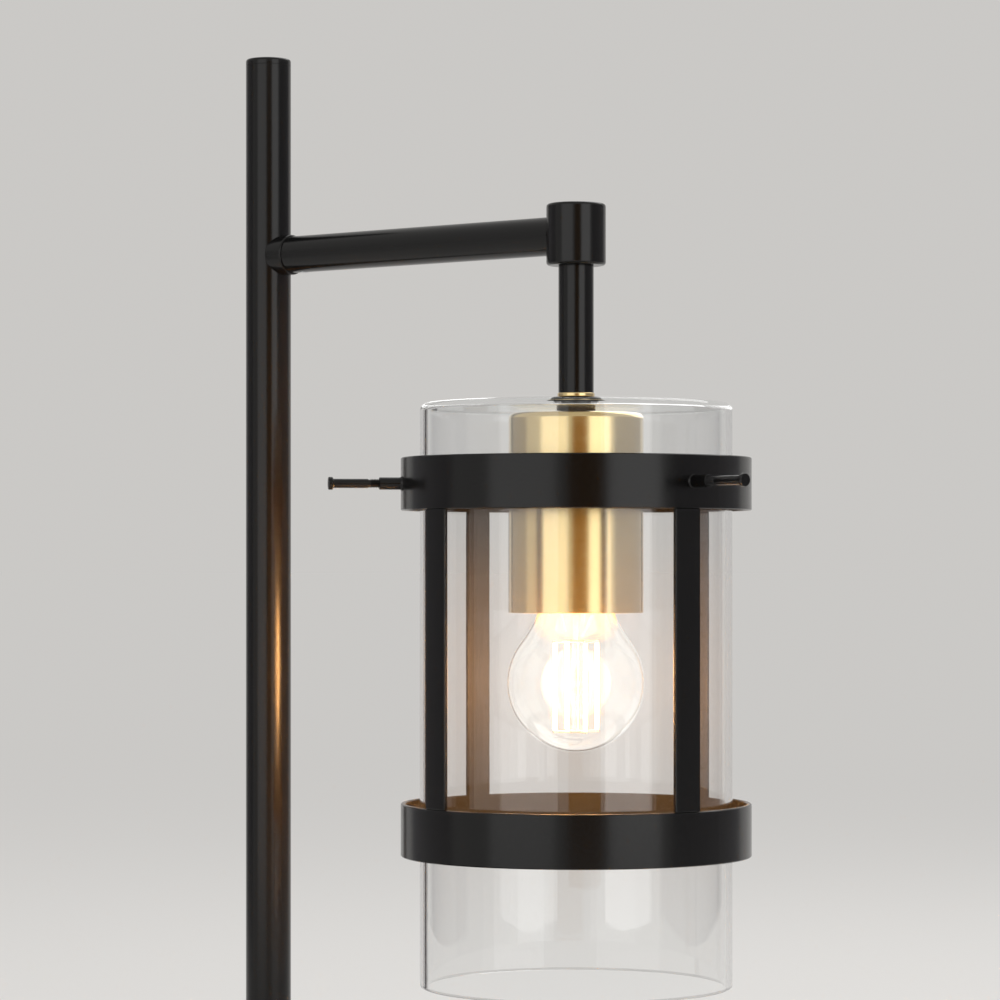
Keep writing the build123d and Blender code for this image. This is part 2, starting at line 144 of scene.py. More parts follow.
def new_material(name: str, surface: Callable[[Tree], Socket]) -> bpy.types.Material:
    """Makes a node material.

    Args:
        name: its name.
        surface: adds the shader to a node tree and gives its output socket.

    Returns:
        The new material.
    """
    made = bpy.data.materials.new(name)
    made.use_nodes = True
    made.node_tree.nodes.clear()
    add_node(made.node_tree, "OutputMaterial", {"Surface": surface(made.node_tree)})
    return made


def per_metre(size: float) -> float:
    """Texture scale that gives a pattern of a size in millimetres."""
    return 1 / (size * MM)


class Finish:
    """What all finishes share: two tones, a roughness range and a fine relief, in millimetres."""

    name: str
    tones: tuple[str, str]
    tone_size: float
    roughness: tuple[float, float]
    grain: float
    relief: float
    # How much finer the grain is along X, Y and Z.
    stretch: tuple[float, float, float] = (1, 1, 1)
    # Plain values of the shader's other sockets. A metal keeps the shader's own IOR.
    sockets: dict[str, object] = {"IOR": 1.5}

    def surface(self, tree: Tree) -> Socket:
        """Adds the shader with its tones, roughness and relief.

        Args:
            tree: the material's node tree.

        Returns:
            The shader's output socket.
        """
        place = add_node(tree, "TexCoord").outputs["Object"]
        drawn = add_node(tree, "Mapping", {"Vector": place, "Scale": self.stretch})
        patches = {"Vector": place, "Scale": per_metre(self.tone_size), "Detail": 3.0}
        cloud = add_node(tree, "TexNoise", patches).outputs["Fac"]
        fine = {"Vector": drawn.outputs["Vector"], "Scale": per_metre(self.grain), "Detail": 4.0}
        grain = add_node(tree, "TexNoise", fine).outputs["Fac"]
        first, second = map(linear, self.tones)
        tone = add_node(tree, "Mix", {"Factor": cloud, "A": first, "B": second}, data_type="RGBA")
        smoothest, roughest = self.roughness
        levels = {"From Min": 0.25, "From Max": 0.75, "To Min": smoothest, "To Max": roughest}
        roughness = add_node(tree, "MapRange", {"Value": grain, **levels})
        bumps = {"Height": grain, "Distance": self.relief * MM, "Strength": 1.0}
        relief = add_node(tree, "Bump", bumps)
        linked = {
            "Base Color": tone.outputs["Result"],
            "Roughness": roughness.outputs["Result"],
            "Normal": relief.outputs["Normal"],
        }
        return add_node(tree, "BsdfPrincipled", {**linked, **self.sockets}).outputs["BSDF"]


class PowderCoat(Finish):
    """Black polyester powder, baked on steel: satin, with the soft dimples of orange peel."""

    name = "black_powder_coat"
    tones = ("#090909", "#0d0c0c")
    tone_size = 45
    roughness = (0.16, 0.22)
    grain = 1.4
    relief = 0.012
    sockets = {"IOR": 1.5, "Specular IOR Level": 0.33}


class SatinBrass(Finish):
    """Turned brass, fine-brushed on the lathe and lacquered: level hairlines round the piece."""

    # Lathe hairlines are a few hundredths of a millimetre apart and are drawn ten times coarser.
    name = "satin_brass"
    tones = ("#ecd49d", "#e4c88b")
    tone_size = 30
    roughness = (0.17, 0.25)
    grain = 16
    relief = 0.002
    stretch = (1, 1, 40)
    sockets = {"Metallic": 1.0, "Coat Weight": 1.0, "Coat Roughness": 0.15}


class PlatedSteel(Finish):
    """Zinc-plated steel, pressed and turned: dull bright grey with cloudy patches."""

    name = "zinc_plated_steel"
    tones = ("#b4b6b8", "#9fa1a4")
    tone_size = 4
    roughness = (0.28, 0.42)
    grain = 0.8
    relief = 0.006
    sockets = {"Metallic": 1.0}


class NickelCap(Finish):
    """Nickel on a rolled brass shell: a bright, slightly warm grey with level rolling marks."""

    name = "nickel_plate"
    tones = ("#d0cdc6", "#c1bdb4")
    tone_size = 6
    roughness = (0.18, 0.30)
    grain = 6
    relief = 0.004
    stretch = (1, 1, 12)
    sockets = {"Metallic": 1.0}


class CastIron(Finish):
    """Grey iron, sand cast and left raw: dark, dull and pitted like coarse sand."""

    name = "sand_cast_iron"
    tones = ("#3c3a38", "#2e2c2a")
    tone_size = 12
    roughness = (0.65, 0.85)
    grain = 1.2
    relief = 0.25


class WoolFelt(Finish):
    """Pressed wool felt: no gloss, a soft edge of light and short tangled fibres."""

    # Fibres are 0.03 mm thick and are drawn in tufts of half a millimetre.
    name = "pressed_felt"
    tones = ("#26262a", "#1b1b1d")
    tone_size = 2.5
    roughness = (0.9, 1.0)
    grain = 0.5
    relief = 0.3
    sockets = {"Sheen Weight": 0.5, "Sheen Roughness": 0.6, "Specular IOR Level": 0.2}


class SoftRubber(Finish):
    """Moulded black rubber: deep black, dull, with a faint bloom."""

    name = "moulded_rubber"
    tones = ("#161616", "#1f1e1d")
    tone_size = 5
    roughness = (0.55, 0.72)
    grain = 0.6
    relief = 0.02
    sockets = {"IOR": 1.52}


class SparkedPlastic(Finish):
    """Black ABS from a spark-eroded mould: an even matt grain with a weak shine."""

    name = "moulded_abs"
    tones = ("#151516", "#1a1a1b")
    tone_size = 20
    roughness = (0.38, 0.55)
    grain = 0.45
    relief = 0.02
    sockets = {"IOR": 1.54}


class GlazedPorcelain(Finish):
    """White electrical porcelain under a clear glaze: creamy, with a wet shine and soft waves."""

    name = "glazed_porcelain"
    tones = ("#ece7dc", "#e2dccf")
    tone_size = 14
    roughness = (0.10, 0.20)
    grain = 5
    relief = 0.02
    sockets = {"IOR": 1.54, "Coat Weight": 0.4, "Coat Roughness": 0.05}


class BlackGlass(Finish):
    """Fused black glass of a bulb's end: glossy, with a few flow ripples."""

    name = "fused_black_glass"
    tones = ("#0d0d11", "#16151a")
    tone_size = 4
    roughness = (0.05, 0.15)
    grain = 2.5
    relief = 0.05
    sockets = {"IOR": 1.55}


class BlownGlass(Finish):
    """Clear soda-lime glass, drawn and fire-polished: nearly colourless, gently wavy, a faint film."""

    name = "clear_drawn_glass"
    tones = ("#fdfdfd", "#f9fafa")
    tone_size = 80
    roughness = (0.0, 0.02)
    grain = 70
    relief = 0.06
    # A film of dust holds back what isn't let through.
    sockets = {"IOR": 1.5, "Transmission Weight": 0.9985}
    shadow: str = "#fafbfb"
    # Light that turns more often than this is caught inside the wall.
    most_turns: float = 3

    def surface(self, tree: Tree) -> Socket:
        """Adds the glass, which lets through the light of lamps and light caught inside its wall.

        Args:
            tree: the material's node tree.

        Returns:
            The shader's output socket.
        """
        glass = super().surface(tree)
        ray = add_node(tree, "LightPath")
        deep = {0: ray.outputs["Ray Depth"], 1: self.most_turns}
        caught = add_node(tree, "Math", deep, operation="GREATER_THAN")
        either = {0: ray.outputs["Is Shadow Ray"], 1: caught.outputs["Value"]}
        through = add_node(tree, "Math", either, operation="MAXIMUM")
        clear = add_node(tree, "BsdfTransparent", {"Color": linear(self.shadow)})
        shaders = {0: through.outputs["Value"], 1: glass, 2: clear.outputs["BSDF"]}
        return add_node(tree, "MixShader", shaders).outputs["Shader"]


class BulbGlass(BlownGlass):
    """Thin blown bulb glass with a faint warm white glow of its own: painted light that stands in for the
    strips' light scattered in the glass.
    """

    name = "blown_bulb_glass"
    tones = ("#ffffff", "#fbfaf6")
    tone_size = 30
    grain = 25
    relief = 0.02
    # The emission paints the glass as glowing, painted light rather than light from the strips.
    sockets = {
        "IOR": 1.5,
        "Transmission Weight": 1.0,
        "Emission Color": linear("#fff3ea"),
        "Emission Strength": 0.105,
    }
    shadow = "#fffaf4"
    most_turns = 9


class LitStrip(Finish):
    """Light strip of tiny diodes under yellow resin, switched on: an even warm white."""

    name = "lit_resin_strip"
    tones = ("#f2c25c", "#eab44a")
    tone_size = 3
    roughness = (0.35, 0.5)
    grain = 1.2
    relief = 0.03
    sockets = {"Emission Color": linear("#ffc684"), "Emission Strength": 30.0}


class Palette:
    """The lamp's finishes, one material for each slot of the record."""

    FINISHES: dict[Slot, Finish] = {
        Slot.FELT: WoolFelt(),
        Slot.IRON: CastIron(),
        Slot.COAT: PowderCoat(),
        Slot.RUBBER: SoftRubber(),
        Slot.STEEL: PlatedSteel(),
        Slot.BRASS: SatinBrass(),
        Slot.SHADE: BlownGlass(),
        Slot.BULB: BulbGlass(),
        Slot.PORCELAIN: GlazedPorcelain(),
        Slot.CAP: NickelCap(),
        Slot.INSULATOR: BlackGlass(),
        Slot.FILAMENT: LitStrip(),
        Slot.PLASTIC: SparkedPlastic(),
    }

    def __init__(self) -> None:
        """Makes every material once."""
        self.materials = {
            slot: new_material(finish.name, finish.surface) for slot, finish in self.FINISHES.items()
        }

    def dress_frame(self) -> None:
        """Gives each CAD node the finish of its slot."""
        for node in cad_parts.values():
            for holder in node.material_slots:
                holder.material = self.materials[Slot(holder.material.name)]


# Meshes


def mesh_object(bm: bmesh.types.BMesh, name: str, material: bpy.types.Material) -> Piece:
    """Makes an object of a finished mesh.

    Args:
        bm: the mesh in metres, which is used up.
        name: the object's name.
        material: its only material.

    Returns:
        The new object.
    """
    mesh = bpy.data.meshes.new(name)
    bm.to_mesh(mesh)
    bm.free()
    mesh.materials.append(material)
    made = bpy.data.objects.new(name, mesh)
    bpy.context.scene.collection.objects.link(made)
    return made


def only(kind: type, parts: Sequence) -> list:
    """Picks the vertices or the edges out of mixed parts of a mesh."""
    return [part for part in parts if isinstance(part, kind)]


def stepped(*sizes: float) -> Outline:
    """Makes a section whose walls are all level or upright.

    Args:
        *sizes: a radius and a height in turn, to which the section goes level and upright.

    Returns:
        Its corners as (radius, height).
    """
    radii, heights = sizes[0::2], sizes[1::2]
    walls = zip(radii, radii[1:] + radii[:1], heights)
    return [(radius, height) for first, second, height in walls for radius in (first, second)]


def lying(place: tuple[float, float, float], turn: float = 0.0) -> Matrix:
    """Lays an upright blank along X at a place, and then turns it about the upright there."""
    return Matrix.Translation(place) @ Matrix.Rotation(turn, 4, "Z") @ Matrix.Rotation(pi / 2, 4, "Y")


def zone(inner: float = 0.0, outer: float = inf, bottom: float = -inf, top: float = inf) -> Test:
    """Makes a test for corners between two radii and two heights.

    Args:
        inner: least radius.
        outer: largest radius.
        bottom: least height.
        top: largest height.

    Returns:
        The test of a corner.
    """

    def inside(corner: Vector) -> bool:
        """Tells whether a corner lies in the zone."""
        level = bottom - NEAR < corner.z < top + NEAR
        return level and inner - NEAR < corner.xy.length < outer + NEAR

    return inside


class Blank:
    """A mesh in the making, in millimetres, shaped by bmesh operators."""

    def __init__(self) -> None:
        """Starts with nothing."""
        self.bm = bmesh.new()

    def close(self) -> "Blank":
        """Merges doubles and turns the faces outwards.

        Returns:
            This blank.
        """
        bmesh.ops.remove_doubles(self.bm, verts=self.bm.verts, dist=MERGED)
        bmesh.ops.recalc_face_normals(self.bm, faces=self.bm.faces)
        return self

    def turn(self, outline: Outline, steps: int = 96, angle: float = tau, rise: float = 0.0) -> "Blank":
        """Spins a closed outline round the upright axis, and closes the ends of an open turn.

        Args:
            outline: corners as (radius, height).
            steps: facets over the angle.
            angle: how far it is spun.
            rise: climb in a step.

        Returns:
            This blank.
        """
        whole = angle == tau
        corners = [self.bm.verts.new((radius, 0, height)) for radius, height in outline]
        pairs = zip(corners, corners[1:] + corners[:1])
        edges = [self.bm.edges.new(pair) for pair in pairs if max(end.co.x for end in pair) > 0]
        spun = bmesh.ops.spin(
            self.bm, geom=corners + edges, cent=(0, 0, 0), axis=(0, 0, 1), dvec=(0, 0, rise),
            angle=angle, steps=steps, use_merge=whole,
        )
        if not whole:
            for end in (edges, only(bmesh.types.BMEdge, spun["geom_last"])):
                bmesh.ops.contextual_create(self.bm, geom=end)
        return self.close()

    def thread(self, ridge: Outline, pitch: float, turns: float, steps: int = 24) -> "Blank":
        """Winds a closed ridge upwards, from its lowest section and with its steps in a turn."""
        return self.turn(ridge, round(turns * steps), turns * tau, pitch / steps)

    def ease(self, width: float, segments: int = 3, where: Test = zone()) -> "Blank":
        """Rounds sharp edges.

        Args:
            width: size of the rounding.
            segments: facets across it.
            where: tells which corners belong to it.

        Returns:
            This blank.
        """
        sharp = [
            edge
            for edge in self.bm.edges
            if edge.is_manifold
            and edge.calc_face_angle() > SHARP
            and all(where(corner.co) for corner in edge.verts)
        ]
        bmesh.ops.bevel(
            self.bm, geom=sharp, offset=width, offset_type="OFFSET", segments=segments, profile=0.5,
            affect="EDGES", material=-1, clamp_overlap=True,
        )
        return self

    def place(self, matrix: Matrix) -> "Blank":
        """Moves and turns the whole blank."""
        bmesh.ops.transform(self.bm, matrix=matrix, verts=self.bm.verts)
        return self

    def copies_round(self, count: int, start: float) -> "Blank":
        """Repeats the blank at even angles round the upright axis.

        Args:
            count: number of copies in all.
            start: angle of the first one.

        Returns:
            This blank.
        """
        first = list(self.bm.verts) + list(self.bm.edges) + list(self.bm.faces)
        for number in range(1, count):
            made = bmesh.ops.duplicate(self.bm, geom=first)["geom"]
            turned = Matrix.Rotation(number * tau / count, 3, "Z")
            verts = only(bmesh.types.BMVert, made)
            bmesh.ops.rotate(self.bm, cent=(0, 0, 0), matrix=turned, verts=verts)
        return self.place(Matrix.Rotation(start, 4, "Z"))


@dataclass
class SubAssembly:
    """Pieces that share finishes, a body and the lamp's two upright axes, in millimetres."""

    palette: Palette
    body: Body = Body.STAND
    pole_x: float = -72
    lantern_x: float = 110

    def piece(self, blank: Blank, name: str, slot: Slot, node: str, body: str | None = None) -> Piece:
        """Makes an object of a blank, and lets it stand for its CAD node.

        Args:
            blank: the finished mesh in millimetres.
            name: the piece's name.
            slot: its material slot.
            node: the CAD node that it replaces.
            body: the body that it rides on; the sub-assembly's own if left out.

        Returns:
            The new object.
        """
        bmesh.ops.scale(blank.bm, vec=(MM, MM, MM), verts=blank.bm.verts)
        for face in blank.bm.faces:
            face.smooth = True
        made = mesh_object(blank.bm, name, self.palette.materials[slot])
        made.data.set_sharp_from_angle(angle=SHARP)
        made.modifiers.new("face_weight", "WEIGHTED_NORMAL").keep_sharp = True
        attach(made, body or self.body.value)
        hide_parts(node)
        return made

    def on_pole(self, blank: Blank, name: str, slot: Slot, node: str) -> Piece:
        """Sets a blank on the pole's axis and makes its piece."""
        return self.piece(blank.place(Matrix.Translation((self.pole_x, 0, 0))), name, slot, node)

    def on_lantern(self, blank: Blank, name: str, slot: Slot, node: str) -> Piece:
        """Sets a blank on the lantern's axis and makes its piece."""
        return self.piece(blank.place(Matrix.Translation((self.lantern_x, 0, 0))), name, slot, node)


@dataclass
class Base(SubAssembly):
    """Felt pad, foot collar, cord inlet and the switch's button. The cover stays as in CAD."""

    pad_radius: float = 112
    pad_height: float = 2
    pad_edge: float = 0.6
    top: float = 21.5
    collar_radius: float = 21
    collar_bore: float = 10.6
    collar_height: float = 9
    collar_slope: float = 4
    collar_edge: float = 0.7
    inlet_x: float = -116.8
    inlet_height: float = 8
    inlet_bore: float = 3.2
    inlet_neck: float = 4.2
    inlet_lip: float = 5.5
    inlet_step: float = 1.8
    lip_edge: float = 0.5
    bore_edge: float = 0.35
    switch_radius: float = 82
    switch_angle: float = -100
    button_radius: float = 6.5
    button_bottom: float = 17.1
    button_top: float = 27.1
    button_land: float = 1.6
    button_edge: float = 0.8
    dish_depth: float = 0.5
    bend_depth: float = 0.425
    bend_radius: float = 6.5 / 3

    def pieces(self) -> Iterator[Piece]:
        """Builds the pieces of the base.

        Yields:
            Each piece.
        """
        yield self.piece(self.pad(), "felt_pad", Slot.FELT, "base_pad")
        yield self.on_pole(self.collar(), "pole_foot_collar", Slot.COAT, "foot_collar")
        yield self.piece(self.inlet(), "cord_bush", Slot.RUBBER, "cord_inlet")
        yield self.piece(self.button(), "push_button", Slot.PLASTIC, "switch_button", Body.BUTTON.value)

    def pad(self) -> Blank:
        """Felt disc with a soft cut edge."""
        return Blank().turn(stepped(0, 0, self.pad_radius, self.pad_height), steps=128).ease(self.pad_edge)

    def collar(self) -> Blank:
        """Sloped collar round the pole's foot.

        Returns:
            The blank.
        """
        bore, radius, slope = self.collar_bore, self.collar_radius, self.collar_slope
        low, top = self.top, self.top + self.collar_height
        outline = [(bore, low), (radius, low), (radius, top - slope), (radius - slope, top), (bore, top)]
        return Blank().turn(outline).ease(self.collar_edge)

    def inlet(self) -> Blank:
        """Bush with a round lip on each side of the cover's wall.

        Returns:
            The blank in its place.
        """
        bore, neck, lip = self.inlet_bore, self.inlet_neck, self.inlet_lip
        first, second, end = (self.inlet_step * count for count in (1, 2, 3))
        blank = Blank().turn(stepped(bore, 0, lip, first, neck, second, lip, end), steps=64)
        blank.ease(self.lip_edge, where=zone(inner=lip))
        blank.ease(self.bore_edge, segments=2, where=zone(outer=bore))
        return blank.place(lying((self.inlet_x, 0, self.inlet_height)))

    def button(self) -> Blank:
        """Push button with a dished top.

        Returns:
            The blank in its place.
        """
        radius, top = self.button_radius, self.button_top
        blank = Blank().turn(
            [
                (0, self.button_bottom), (radius, self.button_bottom), (radius, top),
                (radius - self.button_land, top), (self.bend_radius, top - self.bend_depth),
                (0, top - self.dish_depth),
            ],
            steps=64,
        )
        blank.ease(self.button_edge, segments=4, where=zone(bottom=top))
        angle = radians(self.switch_angle)
        return blank.place(Matrix.Translation(Vector((cos(angle), sin(angle), 0)) * self.switch_radius))


@dataclass
class PoleAndArm(SubAssembly):
    """Pole with its cap, the arm on its boss, hub and drop stem."""

    pole_radius: float = 10.5
    pole_bore: float = 9
    pole_bottom: float = 21.5
    cap_bottom: float = 557
    cap_edge: float = 1.2
    top: float = 560
    tube_edge: float = 0.15
    arm_height: float = 468
    arm_radius: float = 8.5
    arm_bore: float = 7
    arm_end: float = 100
    boss_radius: float = 9.3
    boss_start: float = -66
    boss_end: float = -56.5
    boss_edge: float = 0.7
    hub_radius: float = 13
    hub_bottom: float = 454.5
    hub_top: float = 481.5
    hub_edge: float = 1.4
    seat_radius: float = 10.5
    seat_edge: float = 0.2
    lid_radius: float = 10.4
    lid_bottom: float = 479
    lid_edge: float = 0.3
    stem_radius: float = 7.7
    stem_bore: float = 5.7
    stem_bottom: float = 399

    def pieces(self) -> Iterator[Piece]:
        """Builds the pieces of pole, arm and hub.

        Yields:
            Each piece.
        """
        along_arm = lying((0, 0, self.arm_height))
        yield self.on_pole(self.pole(), "pole_tube", Slot.COAT, "pole")
        yield self.on_pole(self.pole_top(), "pole_top_cap", Slot.COAT, "pole_cap")
        yield self.piece(self.boss().place(along_arm), "arm_root_boss", Slot.COAT, "arm_boss")
        yield self.piece(self.arm().place(along_arm), "arm_tube", Slot.COAT, "arm")
        yield self.on_lantern(self.hub(), "hub_body", Slot.COAT, "hub")
        yield self.on_lantern(self.hub_lid(), "hub_lid", Slot.COAT, "hub_cap")
        yield self.on_lantern(self.stem(), "drop_tube", Slot.COAT, "drop_stem")

    def tube(self, bore: float, start: float, radius: float, end: float) -> Blank:
        """Tube on the upright axis with eased ends."""
        return Blank().turn(stepped(bore, start, radius, end)).ease(self.tube_edge, segments=2)

    def pole(self) -> Blank:
        """Round tube from the base to the cap."""
        return self.tube(self.pole_bore, self.pole_bottom, self.pole_radius, self.cap_bottom)

    def pole_top(self) -> Blank:
        """Cap with a rounded edge, flush with the tube."""
        blank = Blank().turn(stepped(0, self.cap_bottom, self.pole_radius, self.top))
        return blank.ease(self.cap_edge, 4, zone(bottom=self.top)).ease(self.tube_edge, segments=2)

    def boss(self) -> Blank:
        """Short boss that joins the arm to the pole."""
        section = stepped(0, self.boss_start, self.boss_radius, self.boss_end)
        return Blank().turn(section).ease(self.boss_edge)

    def arm(self) -> Blank:
        """Level tube from the boss into the hub."""
        return self.tube(self.arm_bore, self.boss_end, self.arm_radius, self.arm_end)

    def hub(self) -> Blank:
        """Short cylinder with rounded edges and a seat for its lid.

        Returns:
            The blank.
        """
        bottom, top, radius = self.hub_bottom, self.hub_top, self.hub_radius
        blank = Blank().turn(stepped(0, bottom, radius, top, self.seat_radius, self.lid_bottom))
        blank.ease(self.hub_edge, segments=4, where=zone(inner=radius))
        return blank.ease(self.seat_edge, segments=2, where=zone(bottom=top))

    def hub_lid(self) -> Blank:
        """Flush lid in the hub's top."""
        section = stepped(0, self.lid_bottom, self.lid_radius, self.hub_top)
        return Blank().turn(section).ease(self.lid_edge)

    def stem(self) -> Blank:
        """Tube that hangs from the hub."""
        return self.tube(self.stem_bore, self.stem_bottom, self.stem_radius, self.hub_bottom)


@dataclass
class Lantern(SubAssembly):
    """Check ring, collar, glass cylinder, brass cup and the porcelain of the lamp holder."""

    pipe_radius: float = 5
    check_radius: float = 8.2
    check_bottom: float = 397
    check_top: float = 399
    check_edge: float = 0.6
    collar_radius: float = 8.5
    collar_edge: float = 0.4
    glass_radius: float = 68.25
    glass_wall: float = 3
    glass_top: float = 394.5
    glass_bottom: float = 140
    glass_shoulder: float = 3.6
    glass_rim: float = 1.2
    glass_hole: float = 6.7
    hole_edge: float = 0.3
    cup_radius: float = 29.5
    cup_wall: float = 1.2
    cup_top: float = 390
    cup_bottom: float = 303
    cup_edge: float = 2.5
    cup_rim: float = 0.35
    holder_radius: float = 18.5
    holder_neck: float = 9
    holder_well: float = 14.1
    holder_top: float = 382.3
    holder_shoulder: float = 372.3
    holder_roof: float = 354.3
    holder_bottom: float = 324.3
    shoulder_edge: float = 3
    rim_edge: float = 1
    neck_edge: float = 0.5

    def pieces(self) -> Iterator[Piece]:
        """Builds the pieces round the lantern's axis.

        Yields:
            Each piece.
        """
        yield self.on_lantern(self.check_ring(), "brass_check_ring", Slot.BRASS, "check_ring")
        yield self.on_lantern(self.collar(), "glass_collar", Slot.COAT, "clamp_collar")
        yield self.on_lantern(self.glass(), "glass_cylinder", Slot.SHADE, "glass_shade")
        yield self.on_lantern(self.cup(), "brass_cup", Slot.BRASS, "socket_cup")
        yield self.on_lantern(self.holder(), "holder_porcelain", Slot.PORCELAIN, "holder_body")

    def washer(self, bottom: float, radius: float, top: float, edge: float) -> Blank:
        """Flat ring round the pipe with rounded edges."""
        blank = Blank().turn(stepped(self.pipe_radius, bottom, radius, top))
        return blank.ease(edge, where=zone(inner=radius))

    def check_ring(self) -> Blank:
        """Thin brass ring at the stem's foot."""
        return self.washer(self.check_bottom, self.check_radius, self.check_top, self.check_edge)

    def collar(self) -> Blank:
        """Black collar that presses on the glass."""
        return self.washer(self.glass_top, self.collar_radius, self.check_bottom, self.collar_edge)

    def glass(self) -> Blank:
        """Cylinder with a closed flat top, a soft shoulder and a fire-polished rim.

        Returns:
            The blank.
        """
        outer, inner = self.glass_radius, self.glass_radius - self.glass_wall
        bottom, top, under = self.glass_bottom, self.glass_top, self.glass_top - self.glass_wall
        blank = Blank().turn(stepped(self.glass_hole, top, outer, bottom, inner, under), steps=160)
        blank.ease(self.glass_rim, segments=5, where=zone(top=bottom))
        blank.ease(self.glass_shoulder, segments=8, where=zone(inner=outer, bottom=top))
        blank.ease(self.glass_shoulder - self.glass_wall, where=zone(inner=inner, outer=inner))
        return blank.ease(self.hole_edge, segments=2)

    def cup(self) -> Blank:
        """Turned cup with a rounded shoulder.

        Returns:
            The blank.
        """
        outer, inner = self.cup_radius, self.cup_radius - self.cup_wall
        bottom, top, under = self.cup_bottom, self.cup_top, self.cup_top - self.cup_wall
        blank = Blank().turn(stepped(self.pipe_radius, top, outer, bottom, inner, under), steps=144)
        blank.ease(self.cup_edge, segments=6, where=zone(inner=outer, bottom=top))
        return blank.ease(self.cup_rim, segments=2)

    def holder(self) -> Blank:
        """Porcelain body with a rounded shoulder and rim.

        Returns:
            The blank.
        """
        outer, shoulder = self.holder_radius, self.holder_shoulder
        bottom, top = self.holder_bottom, self.holder_top
        head = (self.pipe_radius, top, self.holder_neck, shoulder)
        blank = Blank().turn(stepped(*head, outer, bottom, self.holder_well, self.holder_roof))
        blank.ease(self.shoulder_edge, segments=5, where=zone(inner=outer, bottom=shoulder))
        blank.ease(self.rim_edge, segments=4, where=zone(top=bottom))
        return blank.ease(self.neck_edge, segments=2, where=zone(bottom=top))


